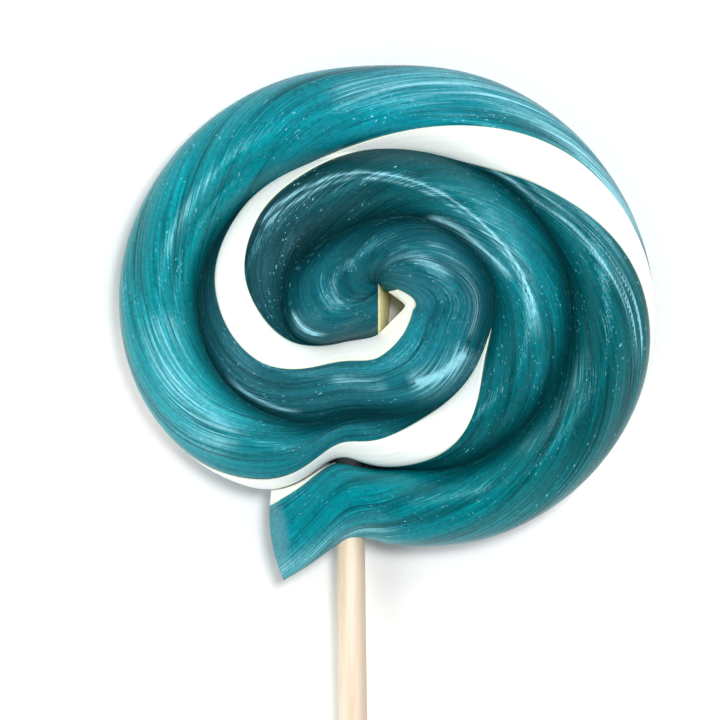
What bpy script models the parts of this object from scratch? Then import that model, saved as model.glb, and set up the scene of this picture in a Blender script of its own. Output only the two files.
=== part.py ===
"""Spiral lollipop: a twisted candy rope with one white stripe, coiled flat on a wooden stick.

It lies on its back, stick towards -Y, shown side up. The origin is on the floor, in the
middle of the whole object's box. Inside this file plan sizes are millimetres from the
middle of the coil; the meshes are built in metres.

The coil is measured by its winding angle: 0 degrees at the inner cut, straight towards the
stick, growing clockwise as seen from above, 360 degrees for each lap.
"""

import bmesh
import bpy
import numpy as np
from mathutils import Matrix

MM = 0.001

# Coil in plan
STATION = 30.0  # winding angle from one edge radius to the next
LAP = 360.0
EDGE_RADII = (  # radius of the rope's outer edge, lap by lap
    (7.0, 9.3, 15.0, 14.7, 11.9, 10.5, 11.0, 12.9, 15.2, 17.7, 18.9, 20.2),
    (19.8, 24.0, 27.8, 28.0, 25.0, 22.3, 21.9, 23.3, 26.4, 29.6, 31.1, 30.6),
    (28.2, 35.9, 40.0, 40.2, 38.3, 36.2, 34.9, 37.2, 39.9, 42.7, 44.0, 42.7),
    (39.5, 38.6),
)
COIL_END = 1098.0
STEP = 9.0  # winding angle from one section of the mesh to the next

# Where the last lap climbs over the one before, and the drawn-out tip
PINCH_AT, PINCH_SPREAD, PINCH_DEPTH = 736.0, 9.0, 3.0
FLARE_FROM, FLARE_RISE, FLARE_POWER = 1080.0, 8.6, 1.8
SLIT_FROM = 711.0  # the outer laps part here, one lap before the tip
SLIT_WIDTH, SLIT_BULGE = 0.35, 0.5
SLIT_RISE, BULGE_RISE = 12.0, 14.0  # winding angles over which these two set in
PARTS_BEFORE, PARTS_AFTER = 24.0, 12.0  # the weld opens over these angles about the slit's start
CUT_SLANT = 10.0  # the end cut's inner corner runs on by this angle
BOW_FROM, CUT_BOW = 1085.0, 1.0  # the end cut stands out by this in its middle

# Three-cornered hole in the middle, beside the slanting inner cut
PIVOT = (0.0, 0.9)
HOLE_CORNER = ((4.35, -2.2), (4.15, -2.9))  # a short bevel
HOLE_FROM, CORNER_FROM, CORNER_TO = 243.0, 282.0, 309.0
CUT_LEAN = (1.9, -0.4)  # how far the back of the pivot lies to the side of the front
LEAN_POWER = 0.6

# Heights above the floor
CREST = 12.5
TIP_DROP = 3.5
CUT_FROM, CUT_DROP = 1093.5, 0.75  # the end cut slopes down from here by this share
WELD_FRONT, WELD_BACK = 8.3, 1.2
SIDE_MIDDLE, SIDE_HALF = 5.4, 0.5
WELD_ROUND, SIDE_ROUND = 1.8, 3.6  # how far the back's edges are rounded
FULL_WIDTH, LOWER_POWER = 12.0, 0.6  # a narrower rope is lower
LEAST_FULL = 0.3
VALLEY_POWER = 1.2  # the front runs out into wide valleys where laps are welded
FRONT_COLUMNS, BACK_COLUMNS = 12, 6  # the front has two columns for each of the back's

# Twist: where the stripe's two edges run, as angles round the rope's section, counted from
# its inner edge over the crest, at the same stations as the edge radii
STRIPE_INNER = (
    (-230, -215, -200, -183, -165, -145, -122, -95, -60, -25, -12, -10),
    (-10, -12, 36, 80, 116, 142, 174, 225, 264, 312, 368, 385),
    (447, 490, 547, 580, 625, 680, 712, 738, 790, 853, 905, 955),
    (1010, 1075),
)
STRIPE_OUTER = (
    (-150, -135, -120, -105, -88, -68, -45, -18, 20, 48, 40, 54),
    (66, 64, 92, 121, 151, 182, 222, 262, 302, 347, 386, 455),
    (518, 545, 585, 618, 670, 728, 766, 802, 845, 884, 938, 993),
    (1062, 1180),
)
RIDGES, RIDGE_HEIGHT = 5, 0.2
STRIPE_FROM = 261.0
STRIPE_OVERRUN = 3.0  # the channel's cutter runs on past the stripe's ends
STRIPE_DEPTH = 2.0
SIDE_ANGLE = 10.0  # share of the section's turn that is the rope's flank
FLANK_BOW, BOW_POWER = 0.1, 40  # the ribbon's flank stands out by this in its middle
GAP = 0.3
LIFT = 1.2  # how far the channel's cutter stands out of the candy
CORE_SHARE = 0.85  # the ribbon's hidden face is this much narrower

# Stick and the dent that it pressed into the laps
STICK_RADIUS = 2.25
STICK_HEIGHT = 5.0
STICK_X = -4.8
STICK_LEAN = np.radians(0.8)
STICK_TOP, STICK_BOTTOM = -8.0, -150.0
STICK_BEVEL = 0.4
STICK_SIDES = 28
DENT_SPREAD, DENT_SHARE = 4.7, 0.062
DENT_FROM, DENT_FULL = 9.0, 17.0  # it sets in over these distances from the coil's middle
DENT_RELIEF, LAST_FROM, LAST_FULL = 0.42, 1055.0, 1070.0  # the last lap's edge is dented less

SHARP_ANGLE = np.radians(40)


def ease(value, start, end):
    """0 before start, 1 after end, with a smooth rise between."""
    share = np.clip((np.asarray(value, float) - start) / (end - start), 0.0, 1.0)
    return share * share * (3.0 - 2.0 * share)


def spline(values, place):
    """A smooth curve through evenly spaced values."""
    values = np.asarray(values, float)
    padded = np.concatenate(
        ([2 * values[0] - values[1]], values, [2 * values[-1] - values[-2]])
    )
    first = np.clip(np.floor(place), 0, len(values) - 2).astype(int)
    u = place - first
    a, b, c, d = (padded[first + k] for k in range(4))
    cubic = (3 * b - a - 3 * c + d) * u**3
    return 0.5 * (2 * b + (c - a) * u + (2 * a - 5 * b + 4 * c - d) * u**2 + cubic)


def along_coil(laps, winding):
    """Value at a winding angle, from one row of stations for each lap."""
    values = [value for lap in laps for value in lap]
    return spline(values, np.asarray(winding, float) / STATION)


def edge_radius(winding):
    """Radius of the rope's outer edge."""
    pinch = PINCH_DEPTH * np.exp(-(((np.asarray(winding) - PINCH_AT) / PINCH_SPREAD) ** 2))
    flare = np.clip((np.asarray(winding) - FLARE_FROM) / (COIL_END - FLARE_FROM), 0.0, None)
    return along_coil(EDGE_RADII, winding) - pinch + FLARE_RISE * flare**FLARE_POWER


def polar(radius, winding):
    angle = np.radians(winding)
    return np.stack([-radius * np.sin(angle), -radius * np.cos(angle)], -1)


def slit_width(winding):
    """Clear width between the last lap and the one inside it."""
    start = SLIT_FROM + LAP
    bulge = ease(winding, start, start + BULGE_RISE) - ease(winding, start + BULGE_RISE, COIL_END)
    return SLIT_WIDTH * ease(winding, start, start + SLIT_RISE) + SLIT_BULGE * bulge


def inner_edge(winding):
    """Plan point of the rope's inner edge."""
    winding = np.asarray(winding, float)
    corners = (PIVOT, PIVOT, *HOLE_CORNER, polar(edge_radius(0.0), 0.0))
    angles = (0.0, HOLE_FROM, CORNER_FROM, CORNER_TO, LAP)
    core = np.stack([np.interp(winding, angles, [c[k] for c in corners]) for k in (0, 1)], -1)
    slant = CUT_SLANT * np.clip((winding - SLIT_FROM - LAP) / (COIL_END - SLIT_FROM - LAP), 0, 1)
    along = np.maximum(winding + slant, LAP)
    outer = polar(edge_radius(along - LAP) + slit_width(winding), along)
    return np.where((winding < LAP)[..., None], core, outer)


def plan(winding, across):
    """Plan point of the rope, across running from 0 at its inner edge to 1 at its outer one."""
    across = np.asarray(across, float)[..., None]
    inner = inner_edge(winding)
    outer = polar(edge_radius(winding), winding)
    point = inner * (1 - across) + outer * across
    x, y = point[..., 0], point[..., 1]
    share = across[..., 0]
    x = x - CUT_BOW * 4 * share * (1 - share) * ease(winding, BOW_FROM, COIL_END)
    relief = DENT_RELIEF * share * ease(winding, LAST_FROM, LAST_FULL)
    dent = DENT_SHARE * (1 - relief) * ease(-y, DENT_FROM, DENT_FULL)
    dent = dent * np.exp(-(((x - STICK_X) / DENT_SPREAD) ** 2))
    return np.stack([x, np.where(y < 0, y * (1 - dent), y)], -1)


def rope_width(winding):
    return np.linalg.norm(polar(edge_radius(winding), winding) - inner_edge(winding), axis=-1)


def opened(winding):
    """0 where the outer edge is welded to the next lap, 1 where it is free."""
    return ease(winding, SLIT_FROM - PARTS_BEFORE, SLIT_FROM + PARTS_AFTER)


def twist(winding):
    """Angle of the stripe's middle line round the rope's section."""
    return (along_coil(STRIPE_INNER, winding) + along_coil(STRIPE_OUTER, winding)) / 2


def edge_heights(winding):
    """Front and back height of the inner edge and of the outer edge."""
    heights = []
    for open_share in (opened(np.asarray(winding) - LAP), opened(winding)):
        front = WELD_FRONT + (SIDE_MIDDLE + SIDE_HALF - WELD_FRONT) * open_share
        back = WELD_BACK + (SIDE_MIDDLE - SIDE_HALF - WELD_BACK) * open_share
        heights.append((front, back))
    return heights


def front_height(winding, turn):
    """Height of the shown side; turn runs from 0 to 180 degrees over the rope."""
    (inner, _), (outer, _) = edge_heights(winding)
    across = (1 - np.cos(np.radians(turn))) / 2
    low = inner * (1 - across) + outer * across
    crest = CREST - TIP_DROP * ease(winding, SLIT_FROM + LAP, COIL_END)
    fullness = np.clip(rope_width(winding) / FULL_WIDTH, LEAST_FULL, 1.0) ** LOWER_POWER
    ridge = RIDGE_HEIGHT * np.cos(np.radians(RIDGES * (turn - twist(winding))))
    cut_share = np.clip((winding - CUT_FROM) / (COIL_END - CUT_FROM), 0.0, 1.0)
    rise = ((crest - (inner + outer) / 2) * fullness + ridge) * (1 - CUT_DROP * cut_share)
    free = opened(np.asarray(winding) - LAP) * (1 - across) + opened(winding) * across
    return low + rise * np.sin(np.radians(turn)) ** (1 + VALLEY_POWER * (1 - free))


def back_height(winding, across):
    """Height of the back: flat, with rounded edges."""
    (_, inner), (_, outer) = edge_heights(winding)
    width = rope_width(winding)
    free = (opened(np.asarray(winding) - LAP), opened(winding))
    height = 0.0
    for edge, away, open_share in ((inner, across, free[0]), (outer, 1 - across, free[1])):
        reach = WELD_ROUND + (SIDE_ROUND - WELD_ROUND) * open_share
        near = np.clip(1 - away * width / reach, 0.0, 1.0)
        height = np.maximum(height, edge * (1 - np.sqrt(1 - near**2)))
    return height


def column(number, count):
    """Share of the rope's width at one of the mesh's columns."""
    return (1 - np.cos(np.pi * number / count)) / 2


def sections_from(start):
    """Winding angles of the sections from a start on, with one where the end cut sets in."""
    regular = np.arange(start, COIL_END + STEP / 2, STEP)
    return [*regular[:-1], CUT_FROM, COIL_END]


class Sheet:
    """One side of the coiled rope: sections share a point where laps are welded."""

    def __init__(self, mesh, columns, height, lean):
        self.mesh = mesh
        self.columns = columns
        self.height = height
        self.lean = lean
        self.windings = sections_from(0.0)
        self.points = {}

    def key(self, section, number):
        winding = self.windings[section]
        lap = round(LAP / STEP)
        if number == 0 and winding <= HOLE_FROM:
            return 0, 0
        if number == 0 and LAP <= winding <= SLIT_FROM + LAP:
            return section - lap, self.columns
        return section, number

    def point(self, section, number):
        key = self.key(section, number)
        if key not in self.points:
            winding = self.windings[key[0]]
            across = column(key[1], self.columns)
            x, y = plan(winding, across)
            fan = (1 - across) ** LEAN_POWER * (1 - ease(winding, HOLE_FROM, CORNER_TO))
            x += self.lean[0] * fan
            y += self.lean[1] * fan
            z = self.height(winding, across)
            self.points[key] = self.mesh.verts.new((x * MM, y * MM, z * MM))
        return self.points[key]

    def fill(self, sections):
        for section in range(sections):
            for number in range(self.columns):
                ring = [
                    self.point(section, number),
                    self.point(section + 1, number),
                    self.point(section + 1, number + 1),
                    self.point(section, number + 1),
                ]
                corners = list(dict.fromkeys(ring))
                if len(corners) > 2:
                    self.mesh.faces.new(corners)


def turn_of(across):
    return np.degrees(np.arccos(np.clip(1 - 2 * across, -1, 1)))


def build_rope():
    """The fused coil as one closed body."""
    mesh = bmesh.new()
    front = Sheet(mesh, FRONT_COLUMNS, lambda w, s: front_height(w, turn_of(s)), (0.0, 0.0))
    back = Sheet(mesh, BACK_COLUMNS, back_height, CUT_LEAN)
    sections = len(front.windings) - 1
    front.fill(sections)
    back.fill(sections)
    lap = round(LAP / STEP)
    slit = round(SLIT_FROM / STEP)
    hole = round(HOLE_FROM / STEP)
    walls = [(k, True) for k in range(slit, sections)]
    walls += [(k, False) for k in range(slit + lap, sections)]
    walls += [(k, False) for k in range(hole, lap)]
    for section, outer in walls:
        pairs = []
        for sheet in (front, back):
            number = sheet.columns if outer else 0
            pairs.append((sheet.point(section, number), sheet.point(section + 1, number)))
        mesh.faces.new((pairs[0][0], pairs[0][1], pairs[1][1], pairs[1][0]))
    for section in (0, sections):
        for k in range(BACK_COLUMNS):
            low = [back.point(section, k + 1), back.point(section, k)]
            high = [front.point(section, 2 * k + step) for step in range(3)]
            mesh.faces.new(low + high)
    return mesh


def skin(winding, turn, lift):
    """Point on the rope's surface at an angle round its section, moved out by a lift."""
    turn = turn % 360.0
    width = rope_width(winding)
    (inner_front, inner_back), (outer_front, outer_back) = edge_heights(winding)
    arch = 180.0 - 2 * SIDE_ANGLE
    if SIDE_ANGLE <= turn <= 180 - SIDE_ANGLE:
        over = (turn - SIDE_ANGLE) / arch * 180.0
        across = (1 - np.cos(np.radians(over))) / 2
        z = front_height(winding, over)
    elif 180 - SIDE_ANGLE < turn < 180 + SIDE_ANGLE:
        across = 1.0
        share = (turn - 180 + SIDE_ANGLE) / (2 * SIDE_ANGLE)
        z = outer_front + (outer_back - outer_front) * share
    elif 180 + SIDE_ANGLE <= turn <= 360 - SIDE_ANGLE:
        over = (turn - 180 - SIDE_ANGLE) / arch * 180.0
        across = (1 + np.cos(np.radians(over))) / 2
        z = max(back_height(winding, across), GAP)
    else:
        across = 0.0
        share = ((turn + SIDE_ANGLE) % 360.0) / (2 * SIDE_ANGLE)
        z = inner_back + (inner_front - inner_back) * share
    bow = FLANK_BOW * np.cos(np.radians(turn)) ** BOW_POWER
    aside = (GAP / 2 - bow - lift * GAP / LIFT) / width
    across = across * (1 - 2 * aside) + aside
    x, y = plan(winding, across)
    return np.array([x, y, z + lift * np.sin(np.radians(turn))])


def build_ribbon(grow, lift, overrun):
    """The stripe as a closed ribbon sunk in the rope's surface.

    Grown and lifted, and run on past both ends, it is the cutter for its own channel.
    """
    mesh = bmesh.new()
    stations = sections_from(STRIPE_FROM)
    if overrun:
        stations = [STRIPE_FROM - overrun, *stations, COIL_END + overrun]
    spread = np.degrees(grow / FULL_WIDTH * 2)
    depth = STRIPE_DEPTH + grow
    rings = []
    for winding in stations:
        middle = twist(winding)
        half = along_coil(STRIPE_OUTER, winding) - middle + spread
        core = np.array([*plan(winding, 0.5), SIDE_MIDDLE])
        outside = [skin(winding, middle + half * share, lift) for share in (-1, -0.5, 0, 0.5, 1)]
        inside = []
        for share in (CORE_SHARE, 0.0, -CORE_SHARE):
            point = skin(winding, middle + half * share, 0)
            inward = core - point
            inside.append(point + inward / np.linalg.norm(inward) * depth)
        rings.append([mesh.verts.new(point * MM) for point in outside + inside])
    for one, two in zip(rings, rings[1:]):
        for k, point in enumerate(one):
            after = (k + 1) % len(one)
            mesh.faces.new((point, one[after], two[after], two[k]))
    mesh.faces.new(rings[0])
    mesh.faces.new(rings[-1])
    return mesh


def add_object(name, mesh, collection, material=None):
    bmesh.ops.triangulate(mesh, faces=mesh.faces)
    bmesh.ops.recalc_face_normals(mesh, faces=mesh.faces)
    data = bpy.data.meshes.new(name)
    mesh.to_mesh(data)
    mesh.free()
    data.shade_smooth()
    data.set_sharp_from_angle(angle=SHARP_ANGLE)
    item = bpy.data.objects.new(name, data)
    collection.objects.link(item)
    if material:
        data.materials.append(material)
    else:
        item.hide_render = True
        item.display_type = "WIRE"
    return item


def make_material(name, colour, roughness):
    material = bpy.data.materials.new(name)
    material.use_nodes = True
    shader = material.node_tree.nodes["Principled BSDF"]
    shader.inputs["Base Color"].default_value = (*colour, 1.0)
    shader.inputs["Roughness"].default_value = roughness
    shader.inputs["Metallic"].default_value = 0.0
    return material


def build_rod(radius, top, bottom):
    """A round rod along the stick's line."""
    length = top - bottom
    mesh = bmesh.new()
    bmesh.ops.create_cone(
        mesh,
        cap_ends=True,
        segments=STICK_SIDES,
        radius1=radius * MM,
        radius2=radius * MM,
        depth=length * MM,
    )
    y = (top + bottom) / 2
    x = STICK_X - y * np.tan(STICK_LEAN)
    turned = Matrix.Rotation(STICK_LEAN, 4, "Z") @ Matrix.Rotation(np.pi / 2, 4, "X")
    middle = Matrix.Translation((x * MM, y * MM, STICK_HEIGHT * MM))
    bmesh.ops.transform(mesh, verts=mesh.verts, matrix=middle @ turned)
    return mesh


def cut(item, cutter):
    """Take the cutter out of a piece, and drop the loose scraps that the cut leaves."""
    modifier = item.modifiers.new(cutter.name, "BOOLEAN")
    modifier.operation = "DIFFERENCE"
    modifier.solver = "MANIFOLD"
    modifier.object = cutter
    evaluated = item.evaluated_get(bpy.context.evaluated_depsgraph_get())
    mesh = bmesh.new()
    mesh.from_mesh(evaluated.to_mesh())
    item.modifiers.remove(modifier)
    bodies = []
    waiting = set(mesh.verts)
    while waiting:
        body = {waiting.pop()}
        edge = set(body)
        while edge:
            edge = {link.other_vert(v) for v in edge for link in v.link_edges} - body
            body |= edge
        waiting -= body
        bodies.append(body)
    bodies.sort(key=len)
    scraps = [point for body in bodies[:-1] for point in body]
    bmesh.ops.delete(mesh, geom=scraps, context="VERTS")
    mesh.to_mesh(item.data)
    mesh.free()


def centre_on_floor(pieces, cutters):
    """Move all so that the origin is below the middle of the pieces' common box."""
    points = [point.co for piece in pieces for point in piece.data.vertices]
    middle = (np.min(points, axis=0) + np.max(points, axis=0)) / 2
    for item in pieces + cutters:
        item.location = (-middle[0], -middle[1], 0.0)


def main():
    for old in list(bpy.data.objects):
        bpy.data.objects.remove(old)
    parts = bpy.data.collections.new("spiral_lollipop")
    cutters = bpy.data.collections.new("cutters")
    for collection in (parts, cutters):
        bpy.context.scene.collection.children.link(collection)

    teal = make_material("teal_candy", (0.0, 0.22, 0.25), 0.25)
    ivory = make_material("ivory_candy", (0.93, 0.92, 0.82), 0.35)
    wood = make_material("birch_wood", (0.80, 0.62, 0.42), 0.6)

    rope = add_object("candy_rope", build_rope(), parts, teal)
    stripe = add_object("white_stripe", build_ribbon(0.0, 0.0, 0.0), parts, ivory)
    stick = add_object("stick", build_rod(STICK_RADIUS, STICK_TOP, STICK_BOTTOM), parts, wood)
    bevel = stick.modifiers.new("eased_ends", "BEVEL")
    bevel.width = STICK_BEVEL * MM
    bevel.segments = 2
    bevel.limit_method = "ANGLE"

    bore = build_rod(STICK_RADIUS + GAP, STICK_TOP + GAP, STICK_BOTTOM)
    bore = add_object("stick_bore", bore, cutters)
    channel = build_ribbon(GAP, LIFT, STRIPE_OVERRUN)
    channel = add_object("stripe_channel", channel, cutters)
    cut(rope, bore)
    cut(rope, channel)
    cut(stripe, bore)
    centre_on_floor((rope, stripe, stick), (bore, channel))


main()
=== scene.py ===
"""Looks of the spiral lollipop: candy rope, white stripe and stick, seen from straight above.

Plan sizes are millimetres from the middle of the coil, as in the model's own source; the
winding angle grows clockwise from the inner cut, 360 degrees for each lap.
"""

import bpy
import numpy as np
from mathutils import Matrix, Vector


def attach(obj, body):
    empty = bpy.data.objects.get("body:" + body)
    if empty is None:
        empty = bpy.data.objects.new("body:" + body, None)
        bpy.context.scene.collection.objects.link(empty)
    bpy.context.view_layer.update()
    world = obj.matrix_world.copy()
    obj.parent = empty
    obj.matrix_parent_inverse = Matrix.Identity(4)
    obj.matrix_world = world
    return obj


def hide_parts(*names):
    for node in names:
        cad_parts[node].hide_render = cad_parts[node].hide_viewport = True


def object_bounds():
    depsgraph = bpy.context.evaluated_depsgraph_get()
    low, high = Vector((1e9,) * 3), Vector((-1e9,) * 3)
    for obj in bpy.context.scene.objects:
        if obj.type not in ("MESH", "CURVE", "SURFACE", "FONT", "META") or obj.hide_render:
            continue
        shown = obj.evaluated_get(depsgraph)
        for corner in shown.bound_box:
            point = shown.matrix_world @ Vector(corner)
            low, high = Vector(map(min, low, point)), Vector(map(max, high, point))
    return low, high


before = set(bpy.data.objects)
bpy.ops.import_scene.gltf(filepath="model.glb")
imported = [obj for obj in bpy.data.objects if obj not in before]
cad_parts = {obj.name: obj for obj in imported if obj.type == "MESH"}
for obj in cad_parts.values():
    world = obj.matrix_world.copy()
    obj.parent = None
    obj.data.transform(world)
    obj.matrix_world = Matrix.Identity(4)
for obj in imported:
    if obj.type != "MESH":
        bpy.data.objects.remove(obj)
CAD_LOW, CAD_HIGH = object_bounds()

MM = 0.001

# Coil in plan
STATION = 30.0  # winding angle from one edge radius to the next
LAP = 360.0
EDGE_RADII = (  # radius of the rope's outer edge, lap by lap
    (7.0, 9.3, 15.0, 14.7, 11.9, 10.5, 11.0, 12.9, 15.2, 17.7, 18.9, 20.2),
    (19.8, 24.0, 27.8, 28.0, 25.0, 22.3, 21.9, 23.3, 26.4, 29.6, 31.1, 30.6),
    (28.2, 35.9, 40.0, 40.2, 38.3, 36.2, 34.9, 37.2, 39.9, 42.7, 44.0, 42.7),
    (39.5, 38.6),
)
COIL_END = 1098.0
PINCH_AT, PINCH_SPREAD, PINCH_DEPTH = 736.0, 9.0, 3.0
FLARE_FROM, FLARE_RISE, FLARE_POWER = 1080.0, 8.6, 1.8
SLIT_FROM = 711.0  # the outer laps part here, one lap before the end
SLIT_WIDTH, SLIT_BULGE = 0.35, 0.5
SLIT_RISE, BULGE_RISE = 12.0, 14.0  # winding angles over which these two set in
PARTS_BEFORE, PARTS_AFTER = 24.0, 12.0  # the weld opens over these angles about the slit's start
CUT_SLANT = 10.0  # the end cut's inner corner runs on by this angle
BOW_FROM, CUT_BOW = 1085.0, 1.0  # the end cut stands out by this in its middle
PIVOT = (0.0, 0.9)
HOLE_CORNER = ((4.35, -2.2), (4.15, -2.9))  # a short bevel
HOLE_FROM, CORNER_FROM, CORNER_TO = 243.0, 282.0, 309.0
CORNER_SOFT = (-9.0, -4.5, 0.0, 4.5, 9.0)  # windings whose mean rounds the hole's corners
CUT_LEAN = (1.9, -0.4)  # how far the back of the pivot lies to the side of the front
LEAN_POWER = 0.6
FOOT_LEAN, FOOT_SPREAD = 0.5, 12.0  # the back leans also at the cut's outer end
STICK_X, STICK_LEAN = -4.8, np.radians(0.8)
DENT_SPREAD, DENT_SHARE = 4.7, 0.062
DENT_FROM, DENT_FULL = 9.0, 17.0  # it sets in over these distances from the coil's middle
DENT_RELIEF, LAST_FROM, LAST_FULL = 0.42, 1055.0, 1070.0  # the last lap's edge is dented less

# Heights
CREST = 12.5
TIP_DROP = 3.5
CUT_WIDTH, CUT_POWER, CUT_LEAST = 2.4, 0.7, 0.3  # the sloping cut is widest in its middle
CUT_DROP = 0.75
CUT_FADE = (-0.2, 1.4)  # its pale look sets in over these winding angles
WELD_FRONT, WELD_BACK = 8.3, 1.2
SIDE_MIDDLE, SIDE_HALF = 5.4, 0.5
WELD_ROUND, SIDE_ROUND = 1.8, 3.6  # how far the back's edges are rounded
FULL_WIDTH, LOWER_POWER = 12.0, 0.6  # a narrower rope is lower
LEAST_FULL = 0.3
VALLEY_POWER = 1.2  # the front runs out into wide valleys where laps are welded
BACK_CLEAR = 0.1  # the back of the rope stays this clear of the floor, for the stripe

# Stick
STICK_RADIUS = 2.25
STICK_HEIGHT = 5.0
STICK_TOP, STICK_BOTTOM = -8.0, -150.0
STICK_BEVEL = 0.4
STICK_SIDES, STICK_RINGS, BEVEL_RINGS = 64, 160, 5
STICK_UNEVEN, STICK_LOBES, LOBE_TWIST = 0.04, (2, 3, 5, 9), 0.02
CREVICE_SHADE_FROM, CREVICE_SHADE_FADE = -32.5, 1.0  # painted shade: dark from here on, inside the coil

# Pale inner cut
CUT_THICKNESS = 0.16
CUT_TRIM = 0.05  # its top stays this far under the teal
CUT_ROWS = 9

# Mesh of the rope, with closer sections near the end cut
STEP = 1.0
END_FROM, END_STEP = 1092.0, 0.2
FRONT_COLUMNS, BACK_COLUMNS = 64, 32

# Stripe: where its two edges run, as angles round the rope's section, counted from its inner
# edge over the crest, at the same stations as the edge radii
STRIPE_INNER = (
    (-230, -215, -200, -183, -165, -145, -122, -95, -60, -25, -12, -10),
    (-10, -12, 36, 80, 116, 142, 174, 225, 264, 312, 368, 385),
    (447, 490, 547, 580, 625, 680, 712, 738, 790, 853, 905, 955),
    (1010, 1075),
)
STRIPE_OUTER = (
    (-150, -135, -120, -105, -88, -68, -45, -18, 20, 48, 40, 54),
    (66, 64, 92, 121, 151, 182, 222, 262, 302, 347, 386, 455),
    (518, 545, 585, 618, 670, 728, 766, 802, 845, 884, 938, 993),
    (1062, 1180),
)
STRIPE_FROM = 258.0
STRIPE_STEP = 0.75
STRIPE_DEPTH = 0.8
STRIPE_PROUD, STRIPE_PILLOW = 0.03, 0.05
STRIPE_SINK, EDGE_FADE = 0.25, 4.0  # the teal dips under the stripe within these degrees
STRIPE_COLUMNS, HIDDEN_COLUMNS, HIDDEN_SHARE = 25, 13, 0.97  # points across, outside and inside
STRIPE_FLOOR = 0.02
SIDE_ANGLE = 10.0  # share of the section's turn that is the rope's flank

# Painted shade in the valleys between laps
VALLEY_REACH = 1.8
VALLEY_FADE = 60.0  # winding angle over which the innermost valley's painted shade sets in

# Relief of the pulled sugar, as waves across the strands
RIDGES, RIDGE_HEIGHT = 5, 0.2
STRAND_WAVES = (9, 13, 17, 22, 29, 37, 46)
STRAND_HEIGHT, STRAND_POWER = 0.03, 0.7  # more waves are lower, by this power
STRAND_WANDER, WANDER_TURN, WANDER_SPREAD = 1.5, 0.7, 9
SEED = 11

# Shallow hollow along the outer lap, beside the stripe, with painted shade in it
HOLLOW_AT, HOLLOW_SPREAD = (835.0, 0.30), (36.0, 0.08)
HOLLOW_DEPTH, HOLLOW_SHADE = 1.3, 0.5

GLINT_FADE = 8.0  # winding angle over which a painted highlight fades at its ends

# Painted highlights, as thin glints and brushed sheen patches: winding angles of the start and
# end, places across the rope at even steps between them, half width in millimetres and strength
GLINTS = (
    (936, 1008, (0.05, 0.09, 0.12, 0.27, 0.47, 0.71, 0.85), 0.3, 1.0),
    (948, 1008, (0.20, 0.23, 0.38, 0.58, 0.80, 0.90), 0.25, 0.85),
    (954, 1000, (0.30, 0.48, 0.64, 0.78), 0.9, 0.35),
    (476, 644, (0.68, 0.72, 0.71, 0.59, 0.45, 0.36, 0.41, 0.55), 0.3, 1.0),
    (476, 640, (0.60, 0.63, 0.64, 0.52, 0.38, 0.29, 0.34, 0.46), 0.22, 0.8),
    (590, 650, (0.42, 0.44, 0.56), 1.0, 0.35),
    (572, 628, (0.05, 0.08, 0.13, 0.27), 0.6, 1.0),
    (390, 422, (0.87, 0.93), 0.35, 1.0),
    (46, 78, (0.84, 0.88), 0.65, 1.0),
    (196, 262, (0.34, 0.50, 0.60), 0.9, 0.65),
    (226, 300, (0.72, 0.80, 0.78), 0.8, 0.45),
    (352, 390, (0.66, 0.46), 1.0, 0.55),
    (300, 344, (0.84, 0.66), 1.7, 1.0),
    (60, 140, (0.40, 0.48, 0.55), 0.4, 0.55),
    (760, 806, (0.60, 0.54, 0.44), 2.6, 0.75),
    (816, 850, (0.46, 0.50), 0.7, 0.6),
    (884, 985, (0.64, 0.80, 0.86, 0.93), 1.7, 0.8),
    (1072, 1108, (0.90, 0.88), 1.5, 0.55),
    (1004, 1042, (0.22, 0.20), 0.9, 0.3),
)


def ease(value, start, end):
    """0 before start, 1 after end, with a smooth rise between."""
    share = np.clip((np.asarray(value, float) - start) / (end - start), 0.0, 1.0)
    return share * share * (3.0 - 2.0 * share)


def spline(values, place):
    """A smooth curve through evenly spaced values."""
    values = np.asarray(values, float)
    padded = np.concatenate(
        ([2 * values[0] - values[1]], values, [2 * values[-1] - values[-2]])
    )
    first = np.clip(np.floor(place), 0, len(values) - 2).astype(int)
    u = place - first
    a, b, c, d = (padded[first + k] for k in range(4))
    cubic = (3 * b - a - 3 * c + d) * u**3
    return 0.5 * (2 * b + (c - a) * u + (2 * a - 5 * b + 4 * c - d) * u**2 + cubic)


def along_coil(laps, winding):
    """Value at a winding angle, from one row of stations for each lap."""
    values = [value for lap in laps for value in lap]
    return spline(values, np.asarray(winding, float) / STATION)


def edge_radius(winding):
    """Radius of the rope's outer edge."""
    pinch = PINCH_DEPTH * np.exp(-(((np.asarray(winding) - PINCH_AT) / PINCH_SPREAD) ** 2))
    flare = np.clip((np.asarray(winding) - FLARE_FROM) / (COIL_END - FLARE_FROM), 0.0, None)
    return along_coil(EDGE_RADII, winding) - pinch + FLARE_RISE * flare**FLARE_POWER


def polar(radius, winding):
    """Plan point at a radius and a winding angle."""
    angle = np.radians(winding)
    return np.stack([-radius * np.sin(angle), -radius * np.cos(angle)], -1)


def slit_width(winding):
    """Clear width between the last lap and the one inside it."""
    start = SLIT_FROM + LAP
    bulge = ease(winding, start, start + BULGE_RISE) - ease(winding, start + BULGE_RISE, COIL_END)
    return SLIT_WIDTH * ease(winding, start, start + SLIT_RISE) + SLIT_BULGE * bulge


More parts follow.
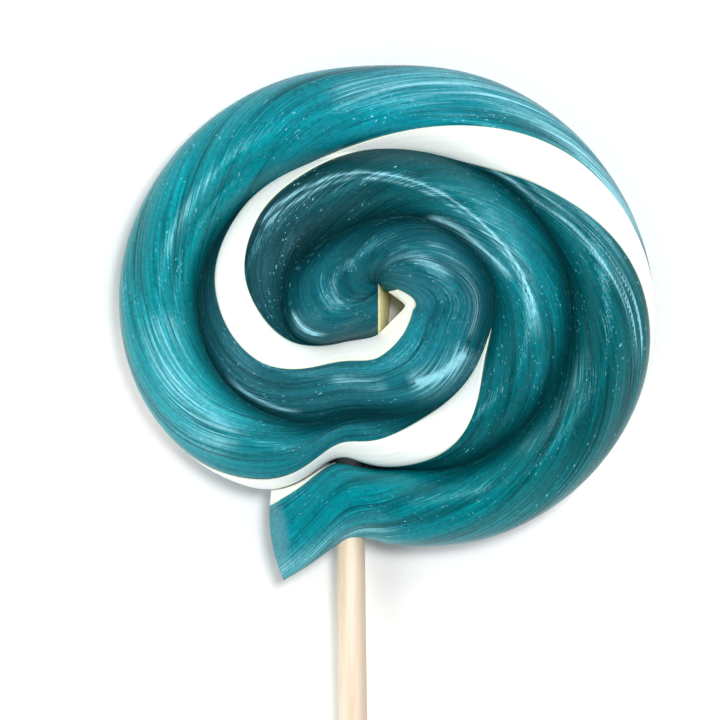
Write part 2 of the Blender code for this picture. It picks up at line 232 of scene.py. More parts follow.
def inner_edge(winding):
    """Plan point of the rope's inner edge."""
    winding = np.asarray(winding, float)
    corners = (PIVOT, PIVOT, *HOLE_CORNER, polar(edge_radius(0.0), 0.0))
    angles = (0.0, HOLE_FROM, CORNER_FROM, CORNER_TO, LAP)
    reach = np.clip((LAP - winding) / CORNER_SOFT[-1], 0, 1)
    near = winding[..., None] + np.array(CORNER_SOFT) * reach[..., None]
    core = [np.interp(near, angles, [c[k] for c in corners]).mean(-1) for k in (0, 1)]
    core = np.stack(core, -1)
    slant = CUT_SLANT * np.clip((winding - SLIT_FROM - LAP) / (COIL_END - SLIT_FROM - LAP), 0, 1)
    along = np.maximum(winding + slant, LAP)
    outer = polar(edge_radius(along - LAP) + slit_width(winding), along)
    return np.where((winding < LAP)[..., None], core, outer)


def plan(winding, across):
    """Plan point of the rope, across running from 0 at its inner edge to 1 at its outer one."""
    across = np.asarray(across, float)[..., None]
    inner = inner_edge(winding)
    outer = polar(edge_radius(winding), winding)
    point = inner * (1 - across) + outer * across
    x, y = point[..., 0], point[..., 1]
    share = across[..., 0]
    x = x - CUT_BOW * 4 * share * (1 - share) * ease(winding, BOW_FROM, COIL_END)
    relief = DENT_RELIEF * share * ease(winding, LAST_FROM, LAST_FULL)
    dent = DENT_SHARE * (1 - relief) * ease(-y, DENT_FROM, DENT_FULL)
    dent = dent * np.exp(-(((x - STICK_X) / DENT_SPREAD) ** 2))
    return np.stack([x, np.where(y < 0, y * (1 - dent), y)], -1)


def rope_width(winding):
    """Straight distance in plan between the rope's two edges."""
    return np.linalg.norm(polar(edge_radius(winding), winding) - inner_edge(winding), axis=-1)


def opened(winding):
    """0 where the outer edge is welded to the next lap, 1 where it is free."""
    return ease(winding, SLIT_FROM - PARTS_BEFORE, SLIT_FROM + PARTS_AFTER)


def strand(winding, turn):
    """Place round the rope between the stripe's edges, 0 at its outer edge and 1 at its inner.

    Also how many degrees a place lies inside the stripe, below 0 outside it.
    """
    start = along_coil(STRIPE_INNER, winding)
    end = along_coil(STRIPE_OUTER, winding)
    rest = 360.0 - (end - start)
    beyond = (turn - end) % 360.0
    beyond = np.where(beyond > (360.0 + rest) / 2, beyond - 360.0, beyond)
    return beyond / rest, np.maximum(-beyond, beyond - rest)


def strand_relief(winding, place):
    """Height of the fine grooves that pulling and twisting leave, parallel to the stripe."""
    draw = np.random.default_rng(SEED)
    height = 0.0
    for waves in STRAND_WAVES:
        phase, drift, sway = draw.uniform(0, 2 * np.pi, 3)
        angle = np.radians(winding) * (WANDER_TURN + drift / WANDER_SPREAD) + sway
        wave = np.cos(2 * np.pi * waves * place + phase + STRAND_WANDER * np.sin(angle))
        height = height + wave / waves**STRAND_POWER
    return height * STRAND_HEIGHT * STRAND_WAVES[0] ** STRAND_POWER / 2


def edge_heights(winding):
    """Front and back height of the inner edge and of the outer edge."""
    heights = []
    for open_share in (opened(np.asarray(winding) - LAP), opened(winding)):
        front = WELD_FRONT + (SIDE_MIDDLE + SIDE_HALF - WELD_FRONT) * open_share
        back = WELD_BACK + (SIDE_MIDDLE - SIDE_HALF - WELD_BACK) * open_share
        heights.append((front, back))
    return heights


def cut_start(across):
    """Winding angle from which the end cut slopes down."""
    return COIL_END - CUT_LEAST - CUT_WIDTH * (4 * across * (1 - across)) ** CUT_POWER


def hollow(winding, across):
    """Share of the shallow hollow at a place."""
    along = (winding - HOLLOW_AT[0]) / HOLLOW_SPREAD[0]
    aside = (across - HOLLOW_AT[1]) / HOLLOW_SPREAD[1]
    return np.exp(-(along**2) - aside**2)


def front_height(winding, turn, fine=True):
    """Height of the shown side; turn runs from 0 to 180 degrees over the rope.

    With fine relief it is the teal candy's, which also dips under the stripe.
    """
    (inner, _), (outer, _) = edge_heights(winding)
    across = (1 - np.cos(np.radians(turn))) / 2
    low = inner * (1 - across) + outer * across
    crest = CREST - TIP_DROP * ease(winding, SLIT_FROM + LAP, COIL_END)
    fullness = np.clip(rope_width(winding) / FULL_WIDTH, LEAST_FULL, 1.0) ** LOWER_POWER
    place, inside = strand(winding, turn)
    ridge = RIDGE_HEIGHT * np.cos(2 * np.pi * RIDGES * place)
    ridge = ridge - HOLLOW_DEPTH * hollow(winding, across)
    sink = 0.0
    if fine:
        ridge = ridge + strand_relief(winding, place) * (1 - ease(inside, -EDGE_FADE, 0))
        sink = STRIPE_SINK * ease(inside, 0, EDGE_FADE)
    cut_from = cut_start(across)
    cut_share = np.clip((winding - cut_from) / (COIL_END - cut_from), 0.0, 1.0)
    rise = ((crest - (inner + outer) / 2) * fullness + ridge) * (1 - CUT_DROP * cut_share)
    free = opened(np.asarray(winding) - LAP) * (1 - across) + opened(winding) * across
    return low - sink + rise * np.sin(np.radians(turn)) ** (1 + VALLEY_POWER * (1 - free))


def back_height(winding, across):
    """Height of the back: flat, with rounded edges."""
    (_, inner), (_, outer) = edge_heights(winding)
    width = rope_width(winding)
    free = (opened(np.asarray(winding) - LAP), opened(winding))
    height = BACK_CLEAR
    for edge, away, open_share in ((inner, across, free[0]), (outer, 1 - across, free[1])):
        reach = WELD_ROUND + (SIDE_ROUND - WELD_ROUND) * open_share
        near = np.clip(1 - away * width / reach, 0.0, 1.0)
        height = np.maximum(height, edge * (1 - np.sqrt(1 - near**2)))
    return height


def glint(winding, across):
    """Strength of the painted highlights, thin glints and brushed sheen patches, at a place."""
    width = rope_width(winding)
    total = 0.0
    for start, end, places, half, strength in GLINTS:
        step = (end - start) / (len(places) - 1)
        middle = spline(places, np.clip((winding - start) / step, 0, len(places) - 1))
        fade = min(GLINT_FADE, (end - start) / 3)
        there = ease(winding, start, start + fade) * (1 - ease(winding, end - fade, end))
        total = total + strength * there * np.exp(-(((across - middle) * width / half) ** 2))
    return np.clip(total, 0.0, 1.0)


def skin(winding, turn, lift):
    """Points on the rope's surface at angles round its section, moved out by a lift."""
    turn = turn % 360.0
    winding = winding + 0.0 * turn
    (inner_front, inner_back), (outer_front, outer_back) = edge_heights(winding)
    arch = 180.0 - 2 * SIDE_ANGLE
    front_turn = np.clip((turn - SIDE_ANGLE) / arch * 180.0, 0, 180)
    back_turn = np.clip((turn - 180 - SIDE_ANGLE) / arch * 180.0, 0, 180)
    on_front = (turn >= SIDE_ANGLE) & (turn <= 180 - SIDE_ANGLE)
    on_outer = (turn > 180 - SIDE_ANGLE) & (turn < 180 + SIDE_ANGLE)
    on_back = (turn >= 180 + SIDE_ANGLE) & (turn <= 360 - SIDE_ANGLE)
    places = [on_front, on_outer, on_back]
    front_across = (1 - np.cos(np.radians(front_turn))) / 2
    back_across = (1 + np.cos(np.radians(back_turn))) / 2
    across = np.select(places, [front_across, 1.0 + 0 * turn, back_across], 0.0)
    down = (turn - 180 + SIDE_ANGLE) / (2 * SIDE_ANGLE)
    up = ((turn + SIDE_ANGLE) % 360.0) / (2 * SIDE_ANGLE)
    heights = [
        front_height(winding, front_turn, False),
        outer_front + (outer_back - outer_front) * down,
        back_height(winding, back_across),
    ]
    z = np.select(places, heights, inner_back + (inner_front - inner_back) * up)
    aside = lift / rope_width(winding)
    across = across * (1 + 2 * aside) - aside
    point = plan(winding, across)
    z = np.maximum(z + lift * np.sin(np.radians(turn)), STRIPE_FLOOR)
    return np.concatenate([point, z[..., None]], -1)


def columns_across(count):
    """Shares of the rope's width at the mesh's columns, as a row."""
    return (1 - np.cos(np.pi * np.arange(count + 1) / count))[None, :] / 2


def turn_at(across):
    """Angle round the front, 0 to 180 degrees, at a share of the rope's width."""
    return np.degrees(np.arccos(np.clip(1 - 2 * across, -1, 1)))


def run_length(windings):
    """Distance along the rope's middle, in millimetres."""
    middle = plan(windings, np.full_like(windings, 0.5))
    steps = np.linalg.norm(np.diff(middle, axis=0), axis=1)
    return np.concatenate([[0.0], np.cumsum(steps)])


class Surface:
    """Points, faces and what the material reads at each corner of a face."""

    def __init__(self):
        self.points = []
        self.faces = []
        self.corner_values = []
        self.count = 0

    def add_grid(self, points):
        """Adds rows of points and gives back the grid of their numbers."""
        index = self.count + np.arange(points[..., 0].size).reshape(points.shape[:2])
        self.points.append(points.reshape(-1, 3))
        self.count += index.size
        return index

    def add_face(self, corners, values=()):
        """Adds a face; corners that are the same point are dropped, with their values."""
        corners = [int(corner) for corner in corners]
        kept = [k for k, corner in enumerate(corners) if corner not in corners[:k]]
        if len(kept) > 2:
            self.faces.append([corners[k] for k in kept])
            self.corner_values.extend(values[k] for k in kept if values)

    def build(self, name, names=()):
        """Makes the object, with a name for each value at a corner."""
        mesh = bpy.data.meshes.new(name)
        points = np.concatenate(self.points) * MM
        used = sorted({corner for face in self.faces for corner in face})
        order = {corner: k for k, corner in enumerate(used)}
        faces = [[order[corner] for corner in face] for face in self.faces]
        mesh.from_pydata(points[used].tolist(), [], faces)
        values = np.array(self.corner_values, dtype=np.float32)
        for k, label in enumerate(names):
            layer = mesh.attributes.new(label, "FLOAT", "CORNER")
            layer.data.foreach_set("value", values[:, k])
        mesh.shade_smooth()
        item = bpy.data.objects.new(name, mesh)
        bpy.context.scene.collection.objects.link(item)
        return item


def rope_sheet(surface, columns, height, lean, flip):
    """One side of the coil; laps share their points where they are welded."""
    coarse = np.arange(0.0, END_FROM, STEP)
    windings = np.concatenate([coarse, np.arange(END_FROM, COIL_END + END_STEP / 2, END_STEP)])
    w, s = windings[:, None], columns_across(columns)
    xy = plan(w, s)
    fan = (1 - s) ** LEAN_POWER * (1 - ease(w, HOLE_FROM, CORNER_TO))
    fan = fan + FOOT_LEAN * s * np.exp(-((w / FOOT_SPREAD) ** 2))
    z = height(w, s)
    points = np.stack([xy[..., 0] + lean[0] * fan, xy[..., 1] + lean[1] * fan, z], -1)
    index = surface.add_grid(points)
    lap = round(LAP / STEP)
    slit = round(SLIT_FROM / STEP)
    index[: round(HOLE_FROM / STEP) + 1, 0] = index[0, 0]
    index[lap : slit + lap + 1, 0] = index[: slit + 1, columns]
    turn = 360 - turn_at(s) if flip else turn_at(s)
    place, _ = strand(w, turn)
    run = np.repeat(run_length(windings)[:, None], columns + 1, axis=1)
    laps = np.repeat((windings / LAP)[:, None], columns + 1, axis=1)
    width = rope_width(windings)[:, None]
    welded = 1 - opened(w)
    welded_inside = (1 - opened(w - LAP)) * ease(w, LAP - VALLEY_FADE, LAP)
    # painted shade: darkness in the valleys where laps are welded, and in the hollow
    valley_shade = welded * np.exp(-(((1 - s) * width / VALLEY_REACH) ** 2))
    valley_shade = valley_shade + welded_inside * np.exp(-((s * width / VALLEY_REACH) ** 2))
    valley_shade = valley_shade + HOLLOW_SHADE * hollow(w, s)
    # painted highlights, on the shown side only
    painted_glint = 0 * s * w if flip else glint(w, s)
    cut = ease(w - cut_start(s), *CUT_FADE) * (1 - flip)
    values = np.stack([place, run, laps, valley_shade, painted_glint, cut], -1)
    for i in range(len(windings) - 1):
        for j in range(columns):
            corners = [(i, j), (i, j + 1), (i + 1, j + 1), (i + 1, j)]
            if not flip:
                corners.reverse()
            places = [values[c] for c in corners]
            around = max(v[0] for v in places) - min(v[0] for v in places)
            if around > 0.5:  # the strands' count starts anew inside this face
                places = [np.array([places[0][0], *v[1:]]) for v in places]
            surface.add_face([index[c] for c in corners], places)
    return index, values


def build_rope():
    """The fused coil as one closed surface."""
    surface = Surface()
    front, front_values = rope_sheet(
        surface,
        FRONT_COLUMNS,
        lambda winding, across: front_height(winding, turn_at(across)),
        (0.0, 0.0),
        False,
    )
    back, _ = rope_sheet(surface, BACK_COLUMNS, back_height, CUT_LEAN, True)
    sections = front.shape[0] - 1
    lap = round(LAP / STEP)
    slit = round(SLIT_FROM / STEP)
    hole = round(HOLE_FROM / STEP)
    walls = [(k, -1) for k in range(slit, sections)]
    walls += [(k, 0) for k in range(slit + lap, sections)]
    walls += [(k, 0) for k in range(hole, lap)]
    for k, edge in walls:
        ring = [front[k, edge], front[k + 1, edge], back[k + 1, edge], back[k, edge]]
        here, beyond = front_values[k, edge], front_values[k + 1, edge]
        places = [here, beyond, beyond, here]
        if edge == 0:
            ring.reverse()
            places.reverse()
        surface.add_face(ring, places)
    for section, facing in ((0, 1), (sections, -1)):
        for k in range(BACK_COLUMNS):
            low = [(back, k + 1), (back, k)]
            high = [(front, 2 * k + step) for step in range(3)]
            ring = [index[section, number] for index, number in low + high]
            places = [front_values[section, 2 * k]] * len(ring)
            surface.add_face(ring[::facing], places)
    return surface.build("candy_coil", ("strand", "run", "lap", "valley_shade", "painted_glint", "cut"))


def build_stripe():
    """The white stripe as a closed ribbon along the rope's surface."""
    surface = Surface()
    windings = np.arange(STRIPE_FROM, COIL_END + STRIPE_STEP / 2, STRIPE_STEP)
    start = along_coil(STRIPE_INNER, windings)[:, None]
    end = along_coil(STRIPE_OUTER, windings)[:, None]
    middle, half = (start + end) / 2, (end - start) / 2
    share = np.linspace(-1, 1, STRIPE_COLUMNS)[None, :]
    w = windings[:, None] + 0 * share
    pillow = STRIPE_PROUD + STRIPE_PILLOW * (1 - share**4) + 0 * w
    outside = skin(w, middle + half * share, pillow)
    hidden = np.linspace(HIDDEN_SHARE, -HIDDEN_SHARE, HIDDEN_COLUMNS)[None, :]
    w_hidden = windings[:, None] + 0 * hidden
    inside = skin(w_hidden, middle + half * hidden, 0.0)
    core = np.concatenate(
        [plan(w_hidden, 0 * w_hidden + 0.5), np.full(w_hidden.shape, SIDE_MIDDLE)[..., None]], -1
    )
    inward = core - inside
    inside = inside + inward / np.linalg.norm(inward, axis=-1, keepdims=True) * STRIPE_DEPTH
    index = surface.add_grid(np.concatenate([outside, inside], 1))
    count = index.shape[1]
    side = np.concatenate([share[0], hidden[0]])
    run = run_length(windings)
    for i in range(len(windings) - 1):
        for j in range(count):
            after = (j + 1) % count
            corners = [index[i, j], index[i, after], index[i + 1, after], index[i + 1, j]]
            places = [
                (side[j], run[i], windings[i] / LAP),
                (side[after], run[i], windings[i] / LAP),
                (side[after], run[i + 1], windings[i + 1] / LAP),
                (side[j], run[i + 1], windings[i + 1] / LAP),
            ]
            surface.add_face(corners, places)
    for section, facing in ((0, -1), (len(windings) - 1, 1)):
        ring = index[section][::facing]
        surface.add_face(ring, [(0.0, run[section], windings[section] / LAP)] * count)
    return surface.build("candy_stripe", ("side", "run", "lap"))


def build_cut_face():
    """The pale inner cut, a thin slab that leans over the hole from the rope's first section."""
    surface = Surface()
    across = columns_across(FRONT_COLUMNS)
    share = np.linspace(0.0, 1.0, CUT_ROWS)[:, None]
    start = 0.0 * across
    xy = plan(start, across)
    high = front_height(start, turn_at(across)) - CUT_TRIM
    low = back_height(start, across)
    fan = (1 - across) ** LEAN_POWER + FOOT_LEAN * across
    layers = []
    for offset in (CUT_THICKNESS / 2, -CUT_THICKNESS / 2):
        x = xy[..., 0] + CUT_LEAN[0] * fan * share + offset
        y = xy[..., 1] + CUT_LEAN[1] * fan * share
        z = high + (low - high) * share
        layers.append(surface.add_grid(np.stack([x, y, z], -1)))
    rows, columns = layers[0].shape
    for layer, facing in zip(layers, (1, -1)):
        for i in range(rows - 1):
            for j in range(columns - 1):
                ring = [layer[i, j], layer[i + 1, j], layer[i + 1, j + 1], layer[i, j + 1]]
                surface.add_face(ring[::facing])
    border = [(i, 0) for i in range(rows)] + [(rows - 1, j) for j in range(1, columns)]
    border += [(i, columns - 1) for i in range(rows - 2, -1, -1)]
    border += [(0, j) for j in range(columns - 2, 0, -1)]
    for k, one in enumerate(border):
        two = border[(k + 1) % len(border)]
        ring = [layers[0][two], layers[0][one], layers[1][one], layers[1][two]]
        surface.add_face(ring)
    return surface.build("cut_face")


def build_stick():
    """A slightly uneven dowel with eased ends, with painted shade inside the coil."""
    surface = Surface()
    draw = np.random.default_rng(SEED)
    ease_in = STICK_BEVEL * (1 - np.cos(np.linspace(0, np.pi / 2, BEVEL_RINGS)))
    middle = np.linspace(STICK_BOTTOM + STICK_BEVEL, STICK_TOP - STICK_BEVEL, STICK_RINGS)
    y = np.concatenate([STICK_BOTTOM + ease_in[:-1], middle, STICK_TOP - ease_in[-2::-1]])
    near_end = np.minimum(y - STICK_BOTTOM, STICK_TOP - y)
    into = np.clip(STICK_BEVEL - near_end, 0, STICK_BEVEL)
    angle = np.radians(np.arange(STICK_SIDES) * 360 / STICK_SIDES)
    radius = STICK_RADIUS - STICK_UNEVEN - STICK_BEVEL + np.sqrt(STICK_BEVEL**2 - into**2)
    wave = np.zeros((len(y), STICK_SIDES))
    for lobes in STICK_LOBES:
        phase, sway = draw.uniform(0, 2 * np.pi, 2)
        twist = LOBE_TWIST * lobes * y[:, None]
        wave += np.cos(lobes * angle[None, :] + phase + twist + sway)
    r = radius[:, None] + STICK_UNEVEN * wave / len(STICK_LOBES)
    x = STICK_X - y[:, None] * np.tan(STICK_LEAN) + r * np.cos(angle)
    z = STICK_HEIGHT + r * np.sin(angle)
    index = surface.add_grid(np.stack([x, y[:, None] + 0 * x, z], -1))
    # painted shade: the stick turns nearly black inside the coil's crevice
    crevice_shade = ease(y, CREVICE_SHADE_FROM, CREVICE_SHADE_FROM + CREVICE_SHADE_FADE)
    shaded_side = ease(np.cos(angle), 0.0, 1.0)  # painted shade: the right side is darker, as if lit from the left
    for i in range(len(y) - 1):
        for j in range(STICK_SIDES):
            after = (j + 1) % STICK_SIDES
            ring = [index[i, j], index[i, after], index[i + 1, after], index[i + 1, j]]
            corners = ((i, j), (i, after), (i + 1, after), (i + 1, j))
            values = [(crevice_shade[row], shaded_side[number]) for row, number in corners]
            surface.add_face(ring[::-1], values[::-1])
    for row, facing in ((0, 1), (len(y) - 1, -1)):
        surface.add_face(index[row][::facing], [(crevice_shade[row], 0.0)] * STICK_SIDES)
    return surface.build("birch_stick", ("crevice_shade", "painted_side_shade"))


def fit_to_frame(items):
    """Shift and trim the modelled pieces so that they fill the box of the whole CAD part."""
    points = np.concatenate([[v.co for v in item.data.vertices] for item in items])
    own_low, own_high = points.min(0), points.max(0)
    low, high = np.array(CAD_LOW), np.array(CAD_HIGH)
    scale = np.minimum(1.0, (high - low) / (own_high - own_low))
    scale[:2] = scale[:2].min()
    shift = (low + high) / 2 - (own_low + own_high) / 2 * scale
    shift[2] = low[2] - own_low[2] * scale[2]
    for item in items:
        flat = np.empty(len(item.data.vertices) * 3)
        item.data.vertices.foreach_get("co", flat)
        item.data.vertices.foreach_set("co", (flat.reshape(-1, 3) * scale + shift).ravel())
        item.data.update()
    return shift


# Materials


class Nodes:
    """Short calls for building one material's node tree."""

    def __init__(self, name):
        self.material = bpy.data.materials.new(name)
        self.material.use_nodes = True
        self.tree = self.material.node_tree
        self.shader = self.tree.nodes["Principled BSDF"]

    def new(self, kind, **settings):
        node = self.tree.nodes.new(kind)
        for key, value in settings.items():
            setattr(node, key, value)
        return node

    def link(self, source, target):
        self.tree.links.new(source, target)

    def feed(self, target, value):
        if isinstance(value, bpy.types.NodeSocket):
            self.link(value, target)
        else:
            target.default_value = value

    def attribute(self, name):
        return self.new("ShaderNodeAttribute", attribute_name=name).outputs["Fac"]

    def math(self, operation, *values):
        node = self.new("ShaderNodeMath", operation=operation)
        for socket, value in zip(node.inputs, values):
            self.feed(socket, value)
        return node.outputs[0]

    def vector(self, x, y, z):
        node = self.new("ShaderNodeCombineXYZ")
        for socket, value in zip(node.inputs, (x, y, z)):
            self.feed(socket, value)
        return node.outputs[0]

    def noise(self, vector, scale, detail=2.0, roughness=0.5):
        node = self.new("ShaderNodeTexNoise")
        self.link(vector, node.inputs["Vector"])
        node.inputs["Scale"].default_value = scale
        node.inputs["Detail"].default_value = detail
        node.inputs["Roughness"].default_value = roughness
        return node.outputs["Fac"]

    def ramp(self, value, *stops):
        """Stops are pairs of a place and a grey value or a colour."""
        node = self.new("ShaderNodeValToRGB")
        self.link(value, node.inputs["Fac"])
        elements = node.color_ramp.elements
        while len(elements) < len(stops):
            elements.new(0.5)
        for element, (place, colour) in zip(elements, stops):
            element.position = place
            rgb = colour if isinstance(colour, tuple) else (colour,) * 3
            element.color = (*rgb, 1.0)
        return node.outputs["Color"]

    def mix(self, share, one, two, blend="MIX"):
        node = self.new("ShaderNodeMix", data_type="RGBA", blend_type=blend)
        self.feed(node.inputs[0], share)
        for socket, value in ((node.inputs[6], one), (node.inputs[7], two)):
            value = (*value, 1.0) if isinstance(value, tuple) else value
            self.feed(socket, value)
        return node.outputs[2]

    def bump(self, height, distance, strength=1.0, normal=None):
        node = self.new("ShaderNodeBump")
        node.inputs["Strength"].default_value = strength
        node.inputs["Distance"].default_value = distance
        self.link(height, node.inputs["Height"])
        if normal:
            self.link(normal, node.inputs["Normal"])
        return node.outputs["Normal"]

    def set(self, **values):
        for key, value in values.items():
            self.feed(self.shader.inputs[key.replace("_", " ")], value)


# Tone of the teal sugar along the coil, with painted sheen in some brighter stops: laps from the
# inner cut, and linear colour
LAPS = COIL_END / LAP
TEAL_TONES_AND_SHEEN = (
    (0.0, (0.004, 0.100, 0.130)),
    (0.25, (0.003, 0.112, 0.142)),
    (0.55, (0.003, 0.095, 0.125)),
    (0.8, (0.005, 0.132, 0.175)),
    # painted sheen: a brushed highlight on the inner lap
    (0.9, (0.010, 0.230, 0.290)),
    (1.05, (0.010, 0.135, 0.170)),
    (1.2, (0.014, 0.115, 0.145)),
    (1.33, (0.012, 0.058, 0.072)),
    (1.5, (0.002, 0.070, 0.082)),
    (1.7, (0.0, 0.190, 0.230)),
    (1.92, (0.0, 0.105, 0.120)),
    (2.05, (0.004, 0.150, 0.190)),
    # painted sheen: the brushed highlight on the outer lap at the lower left
    (2.17, (0.006, 0.330, 0.385)),
    (2.3, (0.0, 0.270, 0.310)),
    (2.5, (0.002, 0.250, 0.320)),
    (2.62, (0.0, 0.190, 0.235)),
    (2.75, (0.0, 0.100, 0.112)),
    (2.9, (0.0, 0.150, 0.168)),
    (2.98, (0.0, 0.220, 0.260)),
    (3.05, (0.0, 0.245, 0.300)),
)
# painted shade colour for the valleys between laps
VALLEY_SHADE_COLOUR = (0.0, 0.028, 0.032)
CUT_END_COLOUR, CUT_END_SHARE = (0.13, 0.32, 0.38), 0.55
PAINTED_GLINT_COLOUR = (0.36, 0.80, 0.93)
SPARKLE_COLOUR = (0.30, 0.68, 0.80)
SHEEN_LINE_GAIN = (2.6, 1.7, 1.7)  # painted sheen lines along the strands: their colour over the tone's
CREAM_COLOUR = (0.66, 0.68, 0.42)
SIDE_SHADE_COLOUR = (0.55, 0.43, 0.32)
CREVICE_SHADE_COLOUR = (0.002, 0.008, 0.009)
PERIMETER = 40.0  # round the rope's section
FIBRE_SCALE = (900, 45, 900)  # to the metre, across, along and through the stick


def teal_material():
    """Pulled teal sugar: streaks along the strands, painted shade in the valleys between laps,
    painted highlights and sparkle.
    """
    n = Nodes("teal_candy_look")
    place, run = n.attribute("strand"), n.attribute("run")
    lap, valley_shade = n.attribute("lap"), n.attribute("valley_shade")
    around = n.math("MULTIPLY", place, PERIMETER)

    def streaks(across, along, detail, roughness=0.6):
        vector = n.vector(n.math("MULTIPLY", around, across), n.math("MULTIPLY", run, along), lap)
        return n.noise(vector, 1.0, detail, roughness)

    fine = streaks(2.4, 0.06, 2.0, 0.6)
    thread = streaks(1.7, 0.05, 1.0)
    hair = streaks(5.0, 0.08, 1.0)
    broad = streaks(0.4, 0.03, 2.0)
    cloud = streaks(0.25, 0.12, 3.0)
    sparkle_noise = streaks(2.6, 1.3, 1.0)
    tones_and_sheen = n.ramp(n.math("DIVIDE", lap, LAPS), *[(at / LAPS, tone) for at, tone in TEAL_TONES_AND_SHEEN])
    shade = n.math("ADD", n.math("MULTIPLY", fine, 0.4), n.math("MULTIPLY", broad, 0.6))
    shade = n.ramp(shade, (0.36, 0.36), (0.5, 0.88), (0.6, 1.05))
    colour = n.mix(1.0, tones_and_sheen, shade, "MULTIPLY")
    patch = n.ramp(cloud, (0.48, 0.1), (0.62, 1.0))
    # painted sheen: thin light lines along the strands in patches, standing in for fine
    # highlights
    sheen_lines = n.math("MULTIPLY", n.ramp(thread, (0.56, 0.0), (0.66, 0.7)), patch)
    colour = n.mix(sheen_lines, colour, n.mix(1.0, tones_and_sheen, SHEEN_LINE_GAIN, "MULTIPLY"))
    grain = n.noise(n.new("ShaderNodeTexCoord").outputs["Object"], 1400.0, 3.0, 0.7)
    grain = n.ramp(grain, (0.3, 0.62), (0.5, 0.92), (0.68, 1.0))
    colour = n.mix(1.0, colour, grain, "MULTIPLY")
    # painted shade darkens the valleys between laps
    valley_shade_share = n.ramp(valley_shade, (0.05, 0.0), (0.45, 0.3), (1.0, 0.72))
    colour = n.mix(valley_shade_share, colour, VALLEY_SHADE_COLOUR)
    broken = n.mix(1.0, grain, CUT_END_COLOUR, "MULTIPLY")
    colour = n.mix(n.math("MULTIPLY", n.attribute("cut"), CUT_END_SHARE), colour, broken)
    # painted sparkle: pale specks in patches, standing in for glittering highlights
    painted_sparkle = n.math("MULTIPLY", n.ramp(sparkle_noise, (0.69, 0.0), (0.73, 0.8)), patch)
    colour = n.mix(painted_sparkle, colour, SPARKLE_COLOUR)
    ragged = n.math("ADD", n.math("MULTIPLY", hair, 0.6), n.math("MULTIPLY", thread, 0.4))
    ragged = n.ramp(ragged, (0.45, 0.04), (0.52, 0.35), (0.58, 1.0))
    # painted highlight: glints and brushed sheen, broken up along the strands
    painted_glint = n.attribute("painted_glint")
    core = n.ramp(painted_glint, (0.75, 0.0), (0.95, 0.75))
    painted_glint = n.math("MAXIMUM", n.math("MULTIPLY", painted_glint, ragged), core)
    colour = n.mix(n.math("MULTIPLY", painted_glint, grain), colour, PAINTED_GLINT_COLOUR)
    n.link(colour, n.shader.inputs["Base Color"])

    rough = n.math("ADD", n.math("MULTIPLY", fine, 0.3), n.math("MULTIPLY", cloud, 0.35))
    n.link(n.math("ADD", rough, 0.02), n.shader.inputs["Roughness"])
    brushed = n.bump(fine, 0.00014, 0.8)
    brushed = n.bump(thread, 0.0002, 0.6, brushed)
    n.link(brushed, n.shader.inputs["Normal"])
    n.link(n.bump(sparkle_noise, 0.0002, 0.5, brushed), n.shader.inputs["Coat Normal"])
    n.set(
        IOR=1.45,
        Specular_Tint=(0.05, 0.8, 1.0, 1.0),
        Coat_Weight=0.35,
        Coat_IOR=1.33,
        Coat_Roughness=0.12,
    )
    return n.material


def ivory_material():
    """White pulled sugar, creamy along its edges."""
    n = Nodes("white_candy_look")
    side, run, lap = n.attribute("side"), n.attribute("run"), n.attribute("lap")
    along = n.vector(n.math("MULTIPLY", side, 3.0), n.math("MULTIPLY", run, 0.08), lap)
    streak = n.noise(along, 1.0, 3.0)
    white = n.ramp(streak, (0.3, (0.94, 0.96, 0.89)), (0.6, (0.99, 0.99, 0.96)))
    edge = n.ramp(n.math("ABSOLUTE", side), (0.82, 0.0), (0.93, 0.25), (0.99, 0.5))
    n.link(n.mix(edge, white, CREAM_COLOUR), n.shader.inputs["Base Color"])
    n.link(n.math("ADD", n.math("MULTIPLY", streak, 0.3), 0.25), n.shader.inputs["Roughness"])
    n.link(n.bump(streak, 0.0003, 0.4), n.shader.inputs["Normal"])
    n.set(IOR=1.45, Subsurface_Weight=0.25, Subsurface_Scale=0.002)
    return n.material


def cut_material():
    """Pale yellow broken sugar of the inner cut."""
    n = Nodes("cut_look")
    position = n.new("ShaderNodeTexCoord").outputs["Object"]
    grain = n.noise(position, 900.0, 3.0)
    colour = n.ramp(grain, (0.35, (0.74, 0.68, 0.30)), (0.65, (0.86, 0.83, 0.50)))
    n.link(colour, n.shader.inputs["Base Color"])
    n.link(n.bump(grain, 0.0002, 0.5), n.shader.inputs["Normal"])
    n.set(Roughness=0.45)
    return n.material


def wood_material():
    """Pale birch with fine fibres along the stick, with painted shade: dark inside the coil,
    darker on the right side.
    """
    n = Nodes("stick_wood_look")
    position = n.new("ShaderNodeTexCoord").outputs["Object"]
    split = n.new("ShaderNodeSeparateXYZ")
    n.link(position, split.inputs[0])
    fine = [n.math("MULTIPLY", split.outputs[k], size) for k, size in enumerate(FIBRE_SCALE)]
    coarse = [n.math("MULTIPLY", value, 0.3) for value in fine]
    fibre = n.noise(n.vector(*fine), 1.0, 4.0, 0.6)
    wide = n.noise(n.vector(*coarse), 1.0, 2.0)
    tone = n.math("ADD", n.math("MULTIPLY", fibre, 0.6), n.math("MULTIPLY", wide, 0.4))
    colour = n.ramp(
        tone,
        (0.35, (0.70, 0.55, 0.39)),
        (0.5, (0.84, 0.70, 0.54)),
        (0.65, (0.90, 0.79, 0.65)),
    )
    # painted shade: the stick's right side darkened
    colour = n.mix(n.attribute("painted_side_shade"), colour, SIDE_SHADE_COLOUR)
    # painted shade: the part inside the coil's crevice made nearly black
    colour = n.mix(n.attribute("crevice_shade"), colour, CREVICE_SHADE_COLOUR)
    n.link(colour, n.shader.inputs["Base Color"])
    n.link(n.bump(fibre, 0.0001, 0.6), n.shader.inputs["Normal"])
    n.set(Roughness=0.65)
    return n.material


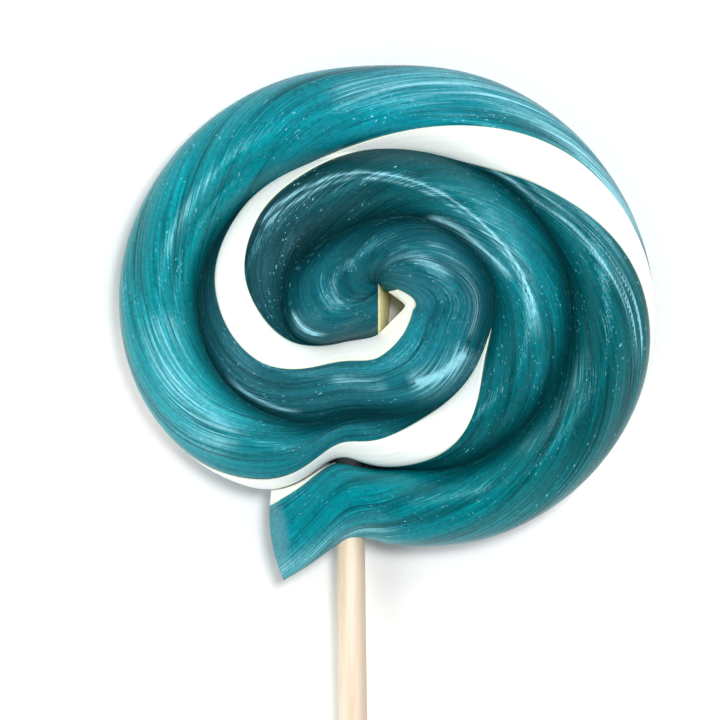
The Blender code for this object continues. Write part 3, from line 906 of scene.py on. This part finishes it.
def floor_material():
    """Matt white paper."""
    n = Nodes("floor_look")
    position = n.new("ShaderNodeTexCoord").outputs["Object"]
    grain = n.noise(position, 900.0, 2.0)
    n.link(n.ramp(grain, (0.3, 0.93), (0.7, 0.95)), n.shader.inputs["Base Color"])
    n.set(Roughness=0.95, Specular_IOR_Level=0.1)
    return n.material


def put(item, material, slot, *nodes):
    """Finish a modelled piece and tie it to the frame."""
    item.data.materials.append(material)
    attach(item, "root")
    if nodes:
        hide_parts(*nodes)


# Camera and light
PIXEL = 0.155  # millimetres of the real thing to a pixel of the photograph
IMAGE_SIZE = 720
COIL_PIXEL = (378.0, 290.0)
CAMERA_HEIGHT = 1.0
SENSOR = 36.0
WORLD_STRENGTH = 1.12
WORLD_STOPS = ((0.0, 1.0), (0.5, 0.75), (0.85, 0.12))  # sine of the elevation, brightness

# Name, place from the coil's middle, size and power
LAMPS = (
    ("key", (0.17, 0.16, 0.88), (0.26, 0.26), 5.0),
    ("left_front", (-0.50, -0.36, 0.44), (0.34, 0.24), 1.5),
    ("right_back", (0.45, 0.45, 0.45), (0.25, 0.25), 1.2),
)


def add_light(name, place, size, power, target):
    """Soft rectangular lamp that faces a target."""
    data = bpy.data.lights.new(name, "AREA")
    data.shape = "RECTANGLE"
    data.size, data.size_y = size
    data.energy = power
    lamp = bpy.data.objects.new(name, data)
    lamp.location = place
    direction = Vector(target) - Vector(place)
    lamp.rotation_euler = direction.to_track_quat("-Z", "Y").to_euler()
    bpy.context.scene.collection.objects.link(lamp)


def build_world():
    """White walls round a darker ceiling, which a camera straight above leaves unlit."""
    world = bpy.data.worlds.new("studio")
    bpy.context.scene.world = world
    world.use_nodes = True
    tree = world.node_tree
    background = tree.nodes["Background"]
    direction = tree.nodes.new("ShaderNodeTexCoord").outputs["Generated"]
    split = tree.nodes.new("ShaderNodeSeparateXYZ")
    ramp = tree.nodes.new("ShaderNodeValToRGB")
    tree.links.new(direction, split.inputs[0])
    tree.links.new(split.outputs[2], ramp.inputs["Fac"])
    tree.links.new(ramp.outputs["Color"], background.inputs["Color"])
    elements = ramp.color_ramp.elements
    elements.new(0.5)
    for element, (place, grey) in zip(elements, WORLD_STOPS):
        element.position = place
        element.color = (grey, grey, grey, 1.0)
    background.inputs["Strength"].default_value = WORLD_STRENGTH


def build_camera(shift):
    """Straight above, with the photograph's framing."""
    data = bpy.data.cameras.new("camera")
    camera = bpy.data.objects.new("camera", data)
    bpy.context.scene.collection.objects.link(camera)
    aim = IMAGE_SIZE / 2
    x = shift[0] + (aim - COIL_PIXEL[0]) * PIXEL * MM
    y = shift[1] + (COIL_PIXEL[1] - aim) * PIXEL * MM
    camera.location = (x, y, CAMERA_HEIGHT)
    data.sensor_width = SENSOR
    data.lens = SENSOR * (CAMERA_HEIGHT - SIDE_MIDDLE * MM) / (IMAGE_SIZE * PIXEL * MM)
    data.dof.use_dof = False
    bpy.context.scene.camera = camera


def main():
    rope = build_rope()
    stripe = build_stripe()
    cut_face = build_cut_face()
    stick = build_stick()
    shift = fit_to_frame((rope, stripe, cut_face, stick))
    put(rope, teal_material(), "teal_candy", "candy_rope")
    put(stripe, ivory_material(), "white_candy", "white_stripe")
    put(cut_face, cut_material(), "white_candy")
    put(stick, wood_material(), "stick_wood", "stick")

    bpy.ops.mesh.primitive_plane_add(size=4.0)
    floor = bpy.context.object
    floor.name = "floor"
    floor.data.materials.append(floor_material())

    build_world()
    middle = Vector((shift[0], shift[1], 0.0))
    for name, place, size, power in LAMPS:
        add_light(name, middle + Vector(place), size, power, middle)
    build_camera(shift)
    bpy.context.scene.view_settings.view_transform = "Standard"


main()
